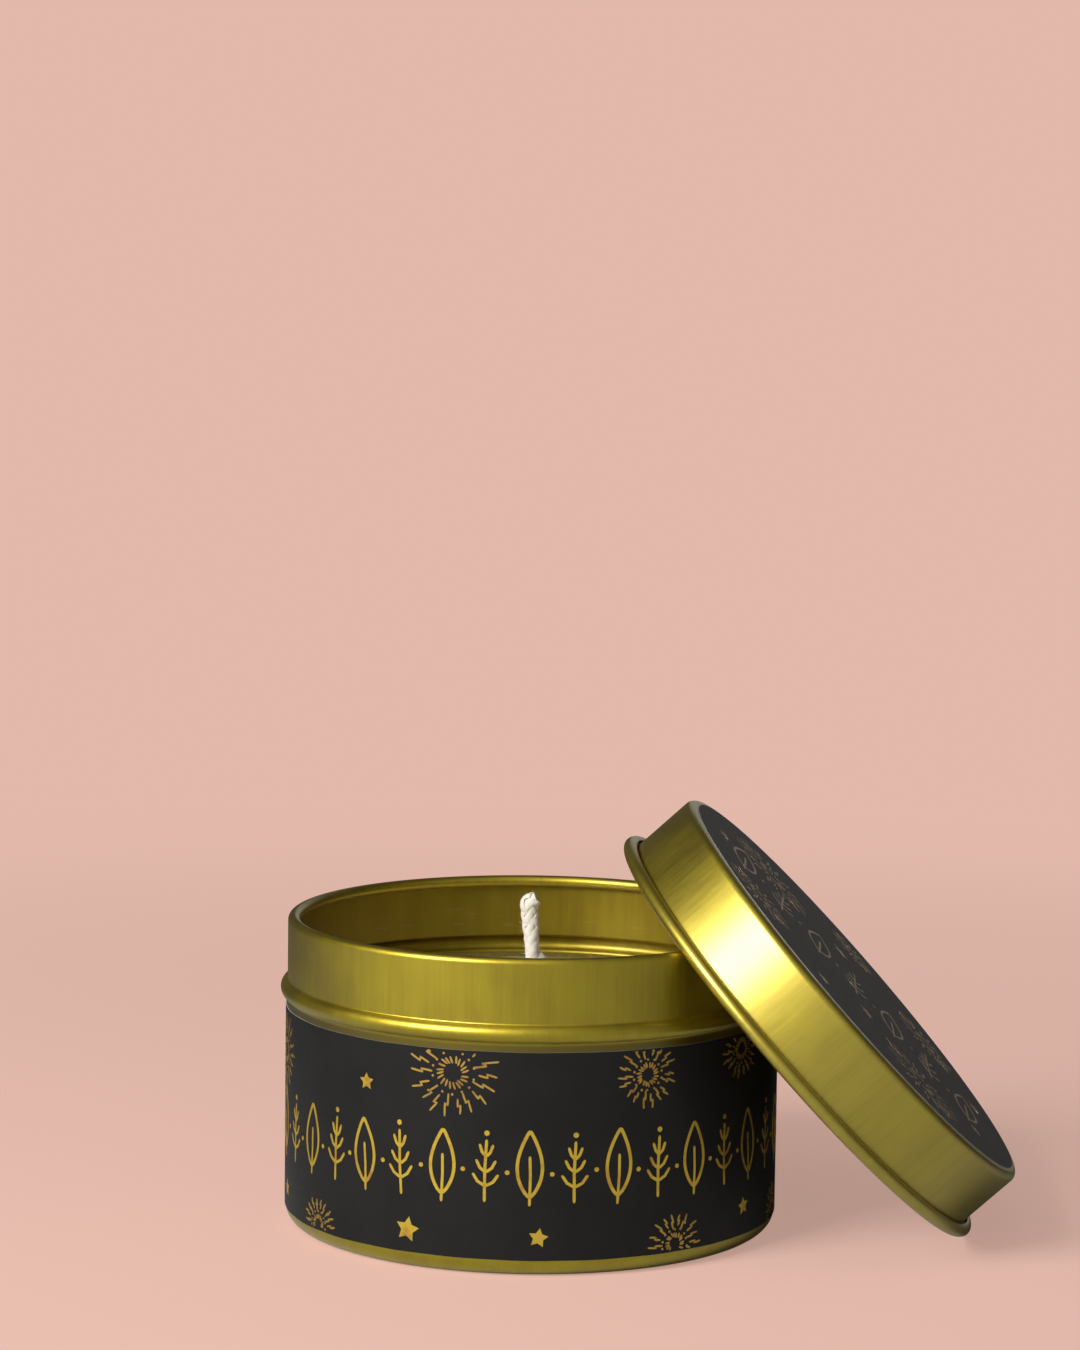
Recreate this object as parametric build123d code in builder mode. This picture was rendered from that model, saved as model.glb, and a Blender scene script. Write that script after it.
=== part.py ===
from build123d import *
import os
from math import cos, radians, sin

# A candle tin with its lid off. A seamless cup of gold-lacquered tinplate holds the wax and its
# wick, a paper label wraps the wall, and the push-on lid leans on the rim with its lip on the floor.
# Millimetres, +Z up. The origin is on the tin's axis, on the surface that the tin stands on.
# The lid leans on the +X side, and -Y is the front.

# ---- sheet and paper ----
SHEET = 0.25  # tinplate thickness
PAPER = 0.12  # label paper with its adhesive

# ---- the cup, measured outside ----
TIN_RADIUS = 37.38
TIN_HEIGHT = 47.0
FOOT_CORNER = 2.6  # radius between the wall and the foot
PANEL_RISE = 0.8  # how far the base panel stands above the floor
PANEL_RADIUS = 31.5
PANEL_STEP = 1.2  # width of the slope from the panel down to the foot ring
PANEL_BEND = 0.5  # bend radius of that slope
BEAD_RADIUS = 38.3  # the pressed-out bead that stops the lid
BEAD_LEVEL = 35.9
BEAD_HALF_WIDTH = 1.2
BEAD_BEND = 0.45  # bend radius where the bead leaves the wall
NECK_RADIUS = 37.25
RIM_CURL = 0.9  # outside radius of the rim's inward curl
CURL_TURN = 290  # how far round each curl is rolled, in degrees

# ---- the labels ----
LABEL_BOTTOM = 2.6
LABEL_TOP = 33.3
LABEL_OVERLAP = 6.0  # the strip's end laps over its start, at the back
BASE_LABEL_RADIUS = 26.0
LID_LABEL_RADIUS = 36.0

# ---- the wax and the wick ----
WAX_LEVEL = 34.0
WALL_CLIMB = 0.4  # how far the wax creeps up the wall
WALL_CREEP = 2.5  # how far from the wall it starts to
WICK_CLIMB = 0.7
WICK_CREEP = 3.2
WICK_RADIUS = 1.2
CORE_RADIUS = 0.4
PAD_RADIUS = 9.5  # adhesive foam dot under the sustainer
PAD_THICKNESS = 0.8
TAB_RADIUS = 10.0  # the sustainer's foot
TAB_SHEET = 0.3
TAB_BEND = 0.9
TAB_NECK = 6.0  # height of the sustainer's neck
WICK_STRAIGHT = 37.0  # height up to which the wick stands upright
LEAN_RADIUS = 90.0  # then it leans a little to the left
LEAN_TURN = 6.8
TIP_RADIUS = 1.9  # and its tip is bent over to the right, pressed by the closed lid
TIP_TURN = 62.0
TIP_LENGTH = 0.4

# ---- the lid, measured outside ----
LID_RADIUS = 37.6
LID_HEIGHT = 12.6
LID_CORNER = 1.2
LID_CURL = 1.05  # outside radius of the lip's outward curl

# ---- how the lid leans ----
LID_TILT = 47.6  # degrees from lying flat
LID_TURN = -2.5  # degrees from straight towards +X
LID_REACH = 39.75  # tin's axis to the middle of the lid's mouth, which leaves the rim 0.2 clear

# ---- derived ----
half = SHEET / 2
wall = TIN_RADIUS - half
neck = NECK_RADIUS - half
foot_bend = FOOT_CORNER - half
rim_bend = RIM_CURL - half
inside = TIN_RADIUS - SHEET
label_radius = TIN_RADIUS + PAPER
pad_base = PANEL_RISE + SHEET
tab_base = pad_base + PAD_THICKNESS
lid_wall = LID_RADIUS - half
lid_bend = LID_CORNER - half
lip_bend = LID_CURL - half
lip_middle = lid_wall + lip_bend

# The lid's own frame: its origin is the middle of the mouth, local Z runs from the mouth to the
# top, and local X points down the slope to the place where the lip stands on the floor.
tilt = radians(LID_TILT)
turn = radians(LID_TURN)
lid_axis = (sin(tilt) * cos(turn), sin(tilt) * sin(turn), cos(tilt))
lid_downhill = (cos(tilt) * cos(turn), cos(tilt) * sin(turn), -sin(tilt))
mouth_height = lip_middle * sin(tilt) + LID_CURL * (1 - cos(tilt))
mouth = (LID_REACH * cos(turn), LID_REACH * sin(turn), mouth_height)
lid_frame = Plane(origin=mouth, x_dir=lid_downhill, z_dir=lid_axis)
lid_section_plane = Plane(origin=mouth, x_dir=lid_downhill, z_dir=-lid_frame.y_dir)

# ---- tin body: one drawn cup, from the middle of its base to the end of its rim curl ----
with BuildPart() as tin_body:
    with BuildSketch(Plane.XZ) as tin_section:
        with BuildLine() as tin_sheet:
            panel = Line((0, PANEL_RISE + half), (PANEL_RADIUS, PANEL_RISE + half))
            slope = Line(panel @ 1, (PANEL_RADIUS + PANEL_STEP, half))
            foot = Line(slope @ 1, (wall - foot_bend, half))
            corner = TangentArc(foot @ 1, (wall, half + foot_bend), tangent=foot % 1)
            side = Line(corner @ 1, (wall, BEAD_LEVEL - BEAD_HALF_WIDTH))
            bead = ThreePointArc(
                side @ 1,
                (BEAD_RADIUS - half, BEAD_LEVEL),
                (neck, BEAD_LEVEL + BEAD_HALF_WIDTH),
            )
            Line(bead @ 1, (neck, TIN_HEIGHT - RIM_CURL))
            CenterArc((neck - rim_bend, TIN_HEIGHT - RIM_CURL), rim_bend, 0, CURL_TURN)
            slope_ends = tin_sheet.vertices().filter_by_position(
                Axis.X, PANEL_RADIUS - 0.1, PANEL_RADIUS + PANEL_STEP + 0.1
            )
            fillet(slope_ends, radius=PANEL_BEND)
            bead_ends = tin_sheet.vertices().filter_by_position(
                Axis.Y, BEAD_LEVEL - BEAD_HALF_WIDTH - 0.1, BEAD_LEVEL + BEAD_HALF_WIDTH + 0.1
            )
            fillet(bead_ends, radius=BEAD_BEND)
        trace(line_width=SHEET)
    revolve(axis=Axis.Z)
tin_body.part.label = "tin_body"

# ---- body label: a paper strip once round the wall, its end lapped over its start ----
with BuildPart() as body_label:
    with BuildSketch(Plane.XY.offset(LABEL_BOTTOM)) as strip:
        Circle(label_radius)
        Circle(TIN_RADIUS, mode=Mode.SUBTRACT)
    extrude(amount=LABEL_TOP - LABEL_BOTTOM)
    with BuildSketch(Plane.XY.offset(LABEL_BOTTOM)) as lap:
        Circle(label_radius + PAPER)
        Circle(label_radius, mode=Mode.SUBTRACT)
        with Locations((0, label_radius)):
            Rectangle(LABEL_OVERLAP, 2.0, mode=Mode.INTERSECT)
    extrude(amount=LABEL_TOP - LABEL_BOTTOM)
body_label.part.label = "body_label"

# ---- base label: a blank disc stuck under the base panel, inside the foot ring ----
with BuildPart() as base_label:
    with BuildSketch(Plane.XY.offset(PANEL_RISE)) as base_disc:
        Circle(BASE_LABEL_RADIUS)
    extrude(amount=-PAPER)
base_label.part.label = "base_label"

# ---- sustainer pad: the foam dot that sticks the wick's foot to the base ----
with BuildPart() as sustainer_pad:
    with BuildSketch(Plane.XY.offset(pad_base)) as pad_disc:
        Circle(PAD_RADIUS)
    extrude(amount=PAD_THICKNESS)
sustainer_pad.part.label = "sustainer_pad"

# ---- wick sustainer: a pressed tab with a neck crimped round the wick ----
with BuildPart() as wick_sustainer:
    with BuildSketch(Plane.XZ) as tab_section:
        with BuildLine() as tab_sheet:
            Polyline(
                (TAB_RADIUS, tab_base + TAB_SHEET / 2),
                (WICK_RADIUS + TAB_SHEET / 2, tab_base + TAB_SHEET / 2),
                (WICK_RADIUS + TAB_SHEET / 2, tab_base + TAB_NECK),
            )
            fillet(tab_sheet.vertices().sort_by(Axis.X)[0:2].sort_by(Axis.Y)[0], radius=TAB_BEND)
        trace(line_width=TAB_SHEET)
    revolve(axis=Axis.Z)
wick_sustainer.part.label = "wick_sustainer"

# ---- wick: a braided sleeve over a paper core, from the foam dot to its bent tip ----
with BuildLine(Plane.XZ) as wick_route:
    upright = Line((0, tab_base), (0, WICK_STRAIGHT))
    lean = JernArc(upright @ 1, upright % 1, LEAN_RADIUS, LEAN_TURN)
    tip = JernArc(lean @ 1, lean % 1, TIP_RADIUS, -TIP_TURN)
    Line(tip @ 1, tip @ 1 + (tip % 1) * TIP_LENGTH)

with BuildPart() as wick_core:
    with BuildSketch(Plane.XY.offset(tab_base)) as core_section:
        Circle(CORE_RADIUS)
    sweep(path=wick_route.wire())
wick_core.part.label = "wick_core"

with BuildPart() as wick_braid:
    with BuildSketch(Plane.XY.offset(tab_base)) as braid_section:
        Circle(WICK_RADIUS)
        Circle(CORE_RADIUS, mode=Mode.SUBTRACT)
    sweep(path=wick_route.wire())
wick_braid.part.label = "wick_braid"

# ---- wax: it fills the cup round the wick's foot, and creeps up the wall and the wick ----
with BuildSketch(Plane.XZ) as poured_section:
    with BuildLine() as poured_outline:
        wick_creep = TangentArc(
            (WICK_RADIUS + WICK_CREEP, WAX_LEVEL),
            (WICK_RADIUS, WAX_LEVEL + WICK_CLIMB),
            tangent=(-1, 0),
        )
        wall_creep = TangentArc(
            (inside - WALL_CREEP, WAX_LEVEL),
            (inside, WAX_LEVEL + WALL_CLIMB),
            tangent=(1, 0),
        )
        Line(wick_creep @ 0, wall_creep @ 0)
        Polyline(
            wick_creep @ 1,
            (WICK_RADIUS, half),
            (wall, half),
            (wall, (wall_creep @ 1).Y),
            wall_creep @ 1,
        )
    make_face()
    with BuildLine():
        Polyline((0, pad_base), (PAD_RADIUS, pad_base), (PAD_RADIUS, tab_base), (0, tab_base), close=True)
    make_face(mode=Mode.SUBTRACT)
    add(tin_section.sketch_local, mode=Mode.SUBTRACT)
    add(tab_section.sketch_local, mode=Mode.SUBTRACT)

with BuildPart() as wax_fill:
    with BuildSketch(Plane.XZ) as wax_section:
        add(poured_section.sketch_local.faces().sort_by(SortBy.AREA)[-1])
    revolve(axis=Axis.Z)
wax_fill.part.label = "wax_fill"

# ---- lid shell: one pressed cap, from the middle of its top to the end of its lip curl ----
with BuildPart() as lid_shell:
    with BuildSketch(lid_section_plane) as lid_section:
        with BuildLine() as lid_sheet:
            top = Line((0, LID_HEIGHT - half), (lid_wall - lid_bend, LID_HEIGHT - half))
            shoulder = TangentArc(top @ 1, (lid_wall, LID_HEIGHT - LID_CORNER), tangent=top % 1)
            Line(shoulder @ 1, (lid_wall, LID_CURL))
            CenterArc((lip_middle, LID_CURL), lip_bend, 180, CURL_TURN)
        trace(line_width=SHEET)
    revolve(axis=Axis(lid_frame.origin, lid_frame.z_dir))
lid_shell.part.label = "lid_shell"

# ---- lid label: a paper disc on the lid's top ----
with BuildPart() as lid_label:
    with BuildSketch(lid_frame.offset(LID_HEIGHT)) as lid_disc:
        Circle(LID_LABEL_RADIUS)
    extrude(amount=PAPER)
lid_label.part.label = "lid_label"

pieces = [
    tin_body,
    body_label,
    base_label,
    sustainer_pad,
    wick_sustainer,
    wick_core,
    wick_braid,
    wax_fill,
    lid_shell,
    lid_label,
]

os.makedirs("parts", exist_ok=True)
for piece in pieces:
    export_step(piece.part, f"parts/{piece.part.label}.step")
    print(piece.part.label, round(piece.part.volume, 1), "mm3")
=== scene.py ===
import random
from math import atan2, cos, degrees, pi, radians, sin, sqrt, tan

import bmesh
import bpy
import numpy as np
from mathutils import Matrix, Vector


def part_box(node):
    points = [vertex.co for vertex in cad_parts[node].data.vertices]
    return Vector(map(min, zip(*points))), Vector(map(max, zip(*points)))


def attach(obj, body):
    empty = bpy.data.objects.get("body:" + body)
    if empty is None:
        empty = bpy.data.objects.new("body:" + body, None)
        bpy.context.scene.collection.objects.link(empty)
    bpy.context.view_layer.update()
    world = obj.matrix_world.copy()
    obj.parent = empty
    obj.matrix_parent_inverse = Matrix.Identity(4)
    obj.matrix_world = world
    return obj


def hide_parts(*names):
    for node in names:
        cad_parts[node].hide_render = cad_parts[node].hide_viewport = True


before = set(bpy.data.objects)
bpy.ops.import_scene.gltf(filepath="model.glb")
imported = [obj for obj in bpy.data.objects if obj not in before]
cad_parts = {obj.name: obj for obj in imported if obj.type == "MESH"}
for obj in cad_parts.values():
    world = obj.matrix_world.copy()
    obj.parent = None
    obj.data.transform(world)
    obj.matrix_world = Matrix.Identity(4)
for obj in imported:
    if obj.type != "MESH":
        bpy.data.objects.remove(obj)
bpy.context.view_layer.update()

# A candle tin with its lid leaning on the rim. Shapes are worked out in millimetres and become metres
# when a mesh is made; the camera, the lights and the floor are in metres.
MM = 0.001
SEGMENTS = 256  # round the tin and the lid

# ---- the cup and its label ----
SHEET = 0.25  # tinplate thickness
PAPER = 0.12
TIN_RADIUS = 37.38
TIN_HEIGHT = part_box("tin_body")[1][2] / MM
FOOT_CORNER = 2.6  # radius between the wall and the foot
PANEL_RISE = 0.8  # how far the base panel stands above the floor
PANEL_RADIUS = 31.5
PANEL_STEP = 1.2  # width of the slope from the panel down to the foot ring
PANEL_BEND = 0.5
BEAD_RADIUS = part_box("tin_body")[1][0] / MM
BEAD_LEVEL = 35.9
BEAD_ARC = 1.27  # radius of the bead's own section
BEAD_BEND = 0.45  # radius of the fillets beside it
NECK_RADIUS = 37.25
RIM_CURL = 0.9  # outside radius of the rim's inward curl
CURL_TURN = 290  # how far round each curl is rolled, in degrees
CURL_STEPS = 36
LABEL_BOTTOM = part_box("body_label")[0][2] / MM
LABEL_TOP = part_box("body_label")[1][2] / MM
LABEL_OVERLAP = 6.0  # the strip's end laps over its start, at the back

# ---- the lid, leaning on the rim with its lip on the table ----
LID_RADIUS = 37.6
LID_HEIGHT = 12.6
LID_CORNER = 1.2
LID_CURL = 1.05  # outside radius of the lip's outward curl
LID_LABEL_RADIUS = 36.0
LID_TILT = radians(47.6)  # from lying flat
LID_TURN = radians(-2.5)  # from straight towards +X
LID_REACH = 39.75  # from the tin's axis to the middle of the lid's mouth

# ---- the wax and the wick ----
WAX_LEVEL = 34.0
WALL_CLIMB = 0.4  # how far the wax creeps up the wall
WALL_CREEP = 2.5  # how far from the wall it starts to
WICK_CLIMB = 0.7
WICK_CREEP = 3.2
WICK_RADIUS = 1.2
TAB_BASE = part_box("wick_sustainer")[0][2] / MM
TAB_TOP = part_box("wick_sustainer")[1][2] / MM
TAB_RADIUS = 10.0
TAB_SHEET = 0.3
WICK_STRAIGHT = 37.0  # height up to which the wick stands upright
LEAN_RADIUS = 90.0  # then it leans towards -X
LEAN_TURN = radians(6.8)
TIP_RADIUS = 1.5  # and its tip is bent over towards +X
TIP_TURN = radians(72.0)
TIP_LENGTH = 0.35

half = SHEET / 2
wall = TIN_RADIUS - half
neck = NECK_RADIUS - half
label_radius = TIN_RADIUS + PAPER
lid_wall = LID_RADIUS - half
lip_bend = LID_CURL - half
lip_middle = lid_wall + lip_bend

# The lid's own frame: origin at the middle of its mouth, Z towards its top, X down the slope.
lid_axis = Vector((sin(LID_TILT) * cos(LID_TURN), sin(LID_TILT) * sin(LID_TURN), cos(LID_TILT)))
lid_downhill = Vector((cos(LID_TILT) * cos(LID_TURN), cos(LID_TILT) * sin(LID_TURN), -sin(LID_TILT)))
lid_back = lid_axis.cross(lid_downhill)
mouth_height = lip_middle * sin(LID_TILT) + LID_CURL * (1 - cos(LID_TILT))
mouth = Vector((LID_REACH * cos(LID_TURN), LID_REACH * sin(LID_TURN), mouth_height)) * MM
lid_turn = Matrix((lid_downhill, lid_back, lid_axis)).transposed().to_4x4()
lid_matrix = Matrix.Translation(mouth) @ lid_turn


# ---- outlines: lists of (radius, height) ----
def arc(centre, radius, start, turn, steps=14):
    """Points round an arc. Angles are in degrees, and both ends are included."""
    angles = np.radians(start + turn * np.linspace(0, 1, steps + 1))
    return [(centre[0] + radius * cos(a), centre[1] + radius * sin(a)) for a in angles]


def rounded(corners, radii, steps=10):
    """A line through these corners, each inner one rounded to its radius."""
    line = [corners[0]]
    for before, corner, after, radius in zip(corners, corners[1:], corners[2:], radii):
        corner = Vector(corner)
        back = (Vector(before) - corner).normalized()
        ahead = (Vector(after) - corner).normalized()
        turn = pi - back.angle(ahead)
        centre = corner + (back + ahead).normalized() * radius / cos(turn / 2)
        start = corner + back * radius * tan(turn / 2) - centre
        end = corner + ahead * radius * tan(turn / 2) - centre
        for step in np.linspace(0, 1, steps + 1):
            spoke = (start * sin((1 - step) * turn) + end * sin(step * turn)) / sin(turn)
            line.append(tuple(centre + spoke))
    return line + [corners[-1]]


def bead_line():
    """The pressed-out bead between the wall and the neck, with a fillet at each end."""
    middle = BEAD_RADIUS - half - BEAD_ARC
    reach = BEAD_ARC + BEAD_BEND
    low_side = wall + BEAD_BEND - middle
    low = sqrt(reach**2 - low_side**2)
    high_side = neck + BEAD_BEND - middle
    high = sqrt(reach**2 - high_side**2)
    low_angle = degrees(atan2(low, low_side))
    high_angle = degrees(atan2(high, high_side))
    return (
        arc((wall + BEAD_BEND, BEAD_LEVEL - low), BEAD_BEND, 180, -low_angle, 8)
        + arc((middle, BEAD_LEVEL), BEAD_ARC, -low_angle, low_angle + high_angle, 18)
        + arc((neck + BEAD_BEND, BEAD_LEVEL + high), BEAD_BEND, 180 + high_angle, -high_angle, 8)
    )


def sheet(line):
    """Both sides of sheet metal along its middle line: the left side out, then the right side back."""
    line = np.array(line)
    keep = np.r_[True, np.linalg.norm(np.diff(line, axis=0), axis=1) > 1e-4]
    line = line[keep]
    steps = np.diff(line, axis=0)
    steps /= np.linalg.norm(steps, axis=1)[:, None]
    ways = np.vstack([steps[:1], steps[:-1] + steps[1:], steps[-1:]])
    ways /= np.linalg.norm(ways, axis=1)[:, None]
    across = np.column_stack([-ways[:, 1], ways[:, 0]]) * half
    return np.vstack([line + across, (line - across)[::-1]])


def divided(line, longest):
    """The line with its long stretches cut into shorter ones."""
    result = [line[0]]
    for a, b in zip(line, line[1:]):
        count = max(1, round(float(np.linalg.norm(np.subtract(b, a))) / longest))
        for step in range(1, count + 1):
            result.append(tuple(np.add(a, np.subtract(b, a) * step / count)))
    return result


# ---- surfaces ----
def smooth_step(value, low, high):
    """0 below low and 1 above high, smooth between."""
    t = np.clip((value - low) / (high - low), 0, 1)
    return t * t * (3 - 2 * t)


def skin(rings, ring_closed=True, loop=False, capped=False):
    """(points, faces) of a surface through rings that have equal numbers of points."""
    rings = np.asarray(rings, float)
    count, size = rings.shape[:2]
    faces = []
    for i in range(count if loop else count - 1):
        a = i * size
        b = (i + 1) % count * size
        for j in range(size if ring_closed else size - 1):
            k = (j + 1) % size
            faces.append((a + j, a + k, b + k, b + j))
    if capped:
        faces.append(tuple(reversed(range(size))))
        faces.append(tuple(range((count - 1) * size, count * size)))
    return rings.reshape(-1, 3), faces


def lathe(outline, warp=None, ring_closed=False):
    """An outline turned round the Z axis. warp(angle, radius, height) gives shifts of the last two."""
    radius, height = np.array(outline).T
    angles = np.arange(SEGMENTS) / SEGMENTS * 2 * pi
    angle, radius = np.meshgrid(angles, radius, indexing="ij")
    height = np.broadcast_to(height, radius.shape)
    if warp:
        outward, upward = warp(angle, radius, height)
        radius = radius + outward
        height = height + upward
    rings = np.stack([radius * np.cos(angle), radius * np.sin(angle), height], axis=-1)
    return skin(rings, ring_closed, loop=True)


def tube(path, half_width, half_thickness, up, sides=8, ends=(0.45, 0.85)):
    """A flattened tube along a path. up points across its thickness, and its ends narrow to the shares
    that ends gives."""
    path = np.asarray(path, float)
    way = np.gradient(path, axis=0)
    way /= np.linalg.norm(way, axis=1)[:, None]
    up = np.broadcast_to(up, path.shape)
    up = up - (up * way).sum(axis=1)[:, None] * way
    up /= np.linalg.norm(up, axis=1)[:, None]
    side = np.cross(way, up)
    from_end = np.minimum(np.arange(len(path)), np.arange(len(path))[::-1])
    size = np.interp(from_end, [0, 1, 2], [*ends, 1.0])[:, None, None]
    turn = np.arange(sides) / sides * 2 * pi
    across = side[:, None] * np.cos(turn)[:, None] * half_width
    through = up[:, None] * np.sin(turn)[:, None] * half_thickness
    return skin(path[:, None] + (across + through) * size, capped=True)


def make_piece(name, skins, materials, body, replaced=(), matrix=None, sharp=40, pick=None):
    """One object from surfaces. pick(index of the skin, face in it) gives a face's material."""
    points = []
    faces = []
    chosen = []
    for index, (own_points, own_faces) in enumerate(skins):
        offset = sum(len(p) for p in points)
        points.append(own_points)
        faces += [tuple(offset + corner for corner in face) for face in own_faces]
        chosen += [pick(index, face) if pick else 0 for face in range(len(own_faces))]
    mesh = bpy.data.meshes.new(name)
    mesh.from_pydata((np.vstack(points) * MM).tolist(), [], faces)
    for material in materials:
        mesh.materials.append(material)
    mesh.polygons.foreach_set("material_index", chosen)
    shape = bmesh.new()
    shape.from_mesh(mesh)
    if matrix is not None:
        shape.transform(matrix)
    bmesh.ops.remove_doubles(shape, verts=shape.verts, dist=1e-8)
    bmesh.ops.recalc_face_normals(shape, faces=shape.faces)
    shape.to_mesh(mesh)
    shape.free()
    mesh.shade_smooth()
    mesh.set_sharp_from_angle(angle=radians(sharp))
    piece = bpy.data.objects.new(name, mesh)
    bpy.context.scene.collection.objects.link(piece)
    weighted = piece.modifiers.new("weighted normals", "WEIGHTED_NORMAL")
    weighted.keep_sharp = True
    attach(piece, body)
    if replaced:
        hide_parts(*replaced)
    return piece


# ---- colours ----
# A gold has a warm, an olive and a pale tone. A paper has a dark and a light one, a foil a bright and a
# brown one.
GOLD = (0.46, 0.33, 0.006, 1), (0.52, 0.40, 0.008, 1), (0.62, 0.49, 0.03, 1)
# a darker copy of the same gold for the insides of the cup and the lid: painted shade
GOLD_PAINTED_SHADE = (0.29, 0.20, 0.003, 1), (0.34, 0.25, 0.004, 1), (0.40, 0.30, 0.008, 1)
# a lighter copy of the same gold for the lid's outside: painted light
LID_GOLD_PAINTED_LIGHT = (0.53, 0.39, 0.006, 1), (0.60, 0.46, 0.010, 1), (0.72, 0.59, 0.04, 1)
# painted shade: the colour of the strip under the bead, just above the label
UNDER_BEAD_SHADE = (0.20, 0.145, 0.006, 1)
BLACK_PAPER = (0.009, 0.0082, 0.0078, 1), (0.013, 0.012, 0.0115, 1)
# the lid's black paper, made lighter than the wall's: painted sheen
SHEEN_PAINTED_LID_PAPER = (0.060, 0.050, 0.042, 1), (0.078, 0.066, 0.056, 1)
CUT_PAPER = (0.30, 0.29, 0.28, 1), (0.42, 0.41, 0.39, 1)
BASE_PAPER = (0.72, 0.71, 0.68, 1), (0.80, 0.79, 0.76, 1)
FOIL = (0.98, 0.66, 0.08, 1), (0.70, 0.36, 0.07, 1)
WORN_FOIL = (0.72, 0.44, 0.09, 1), (0.45, 0.24, 0.07, 1)
LID_FOIL = (0.50, 0.33, 0.17, 1), (0.24, 0.15, 0.09, 1)
WAX_WARM = (0.62, 0.55, 0.41, 1)
WAX_PALE = (0.69, 0.63, 0.50, 1)
WAX_FROST = (0.76, 0.72, 0.62, 1)
# painted shade and painted reflection of the gold wall, on the wax near it
WAX_WALL_SHADE = (0.15, 0.115, 0.025, 1)
COTTON = (1.0, 0.93, 0.81, 1)
COTTON_SHADE = (0.95, 0.86, 0.72, 1)
TIN_BRIGHT = (0.80, 0.80, 0.79, 1)
TIN_SHADE = (0.62, 0.62, 0.61, 1)
FOAM = (0.85, 0.85, 0.83, 1)
FOAM_PIT_SHADE = (0.55, 0.55, 0.53, 1)
KRAFT = (0.62, 0.50, 0.36, 1)
KRAFT_SHADE = (0.48, 0.37, 0.25, 1)

# Where a look changes: (start, end) of the change, in millimetres of height or of radius.
# the first band is painted shade under the bead, just above the label
UNDER_BEAD_SHADE_BAND = (LABEL_TOP - 1, LABEL_TOP - 0.5), (LABEL_TOP + 0.7, LABEL_TOP + 1.5)
SMEARED = (36.5, 38.5), (40.0, 44.5)
# radii where the wax's painted shade by the wall starts and is full
WALL_SHADE_STARTS = 31.5, 36.0


# ---- materials ----
def connect(tree, node, inputs):
    """Links the node's inputs to sockets, or sets them to values."""
    for key, value in inputs.items():
        if isinstance(value, bpy.types.NodeSocket):
            tree.links.new(value, node.inputs[key])
        else:
            node.inputs[key].default_value = value


def add_node(tree, kind, inputs, **settings):
    """A shader node with its settings and its inputs."""
    node = tree.nodes.new("ShaderNode" + kind)
    for key, value in settings.items():
        setattr(node, key, value)
    connect(tree, node, inputs)
    return node


def new_material(name, matrix=None, **values):
    """(material, its tree, its shader, coordinates in millimetres). The coordinates are those of the
    frame that matrix gives, and values are the shader's own numbers."""
    material = bpy.data.materials.new(name)
    material.use_nodes = True
    tree = material.node_tree
    shader = tree.nodes["Principled BSDF"]
    for key, value in values.items():
        shader.inputs[key.replace("_", " ")].default_value = value
    place = add_node(tree, "TexCoord", {}).outputs["Object"]
    if matrix is not None:
        inputs = {"Vector": place, "Location": matrix.translation, "Rotation": matrix.to_euler()}
        place = add_node(tree, "Mapping", inputs, vector_type="TEXTURE").outputs[0]
    return material, tree, shader, scaled(tree, place, (1 / MM, 1 / MM, 1 / MM))


def scaled(tree, vector, factors):
    """The vector times these factors, which sets a pattern's density along each axis."""
    return add_node(tree, "VectorMath", {0: vector, 1: factors}, operation="MULTIPLY").outputs[0]


def noise(tree, vector, scale, detail=3.0, roughness=0.5):
    """A noise with that many features to a unit."""
    inputs = {"Vector": vector, "Scale": scale, "Detail": detail, "Roughness": roughness}
    return add_node(tree, "TexNoise", inputs).outputs["Fac"]


def fit(tree, value, low, high, to_low=0.0, to_high=1.0):
    """The value from low..high to to_low..to_high, smoothly and clamped."""
    inputs = {"Value": value, "From Min": low, "From Max": high, "To Min": to_low, "To Max": to_high}
    return add_node(tree, "MapRange", inputs, interpolation_type="SMOOTHSTEP").outputs[0]


def calculate(tree, operation, a, b):
    """a and b combined by one operation."""
    return add_node(tree, "Math", {0: a, 1: b}, operation=operation).outputs[0]


def mixed(tree, a, b, share):
    """That share of a plus the rest of b."""
    part = calculate(tree, "MULTIPLY", a, share)
    rest = calculate(tree, "MULTIPLY", b, 1 - share)
    return calculate(tree, "ADD", part, rest)


def band(tree, place, rise, fall):
    """1 between two heights and 0 beyond them. rise and fall are where each change starts and ends."""
    height = add_node(tree, "SeparateXYZ", {0: place}).outputs["Z"]
    above = fit(tree, height, *rise)
    below = fit(tree, height, *fall, 1.0, 0.0)
    return calculate(tree, "MULTIPLY", above, below)


def blend_colours(tree, factor, a, b):
    """Colour a where the factor is 0, b where it is 1."""
    node = add_node(tree, "Mix", {}, data_type="RGBA")
    for key, kind, value in (("Factor", "VALUE", factor), ("A", "RGBA", a), ("B", "RGBA", b)):
        socket = next(s for s in node.inputs if s.name == key and s.type == kind)
        if isinstance(value, bpy.types.NodeSocket):
            tree.links.new(value, socket)
        else:
            socket.default_value = value
    return next(s for s in node.outputs if s.type == "RGBA")


def bumped(tree, shader, layers):
    """Raises the shader's surface by layers of (height, strength, depth in millimetres)."""
    normal = None
    for height, strength, depth in layers:
        inputs = {"Height": height, "Strength": strength, "Distance": depth * MM}
        if normal:
            inputs["Normal"] = normal
        normal = add_node(tree, "Bump", inputs).outputs["Normal"]
    connect(tree, shader, {"Normal": normal})


def wax_smears(tree, place):
    """Where wax was wiped along the inside of the neck, and how thickly."""
    patches = noise(tree, scaled(tree, place, (0.16, 0.16, 0.9)), 1.0, 5.0, 0.65)
    thickness = fit(tree, patches, 0.58, 0.74, 0.0, 0.16)
    return calculate(tree, "MULTIPLY", thickness, band(tree, place, *SMEARED))


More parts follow.
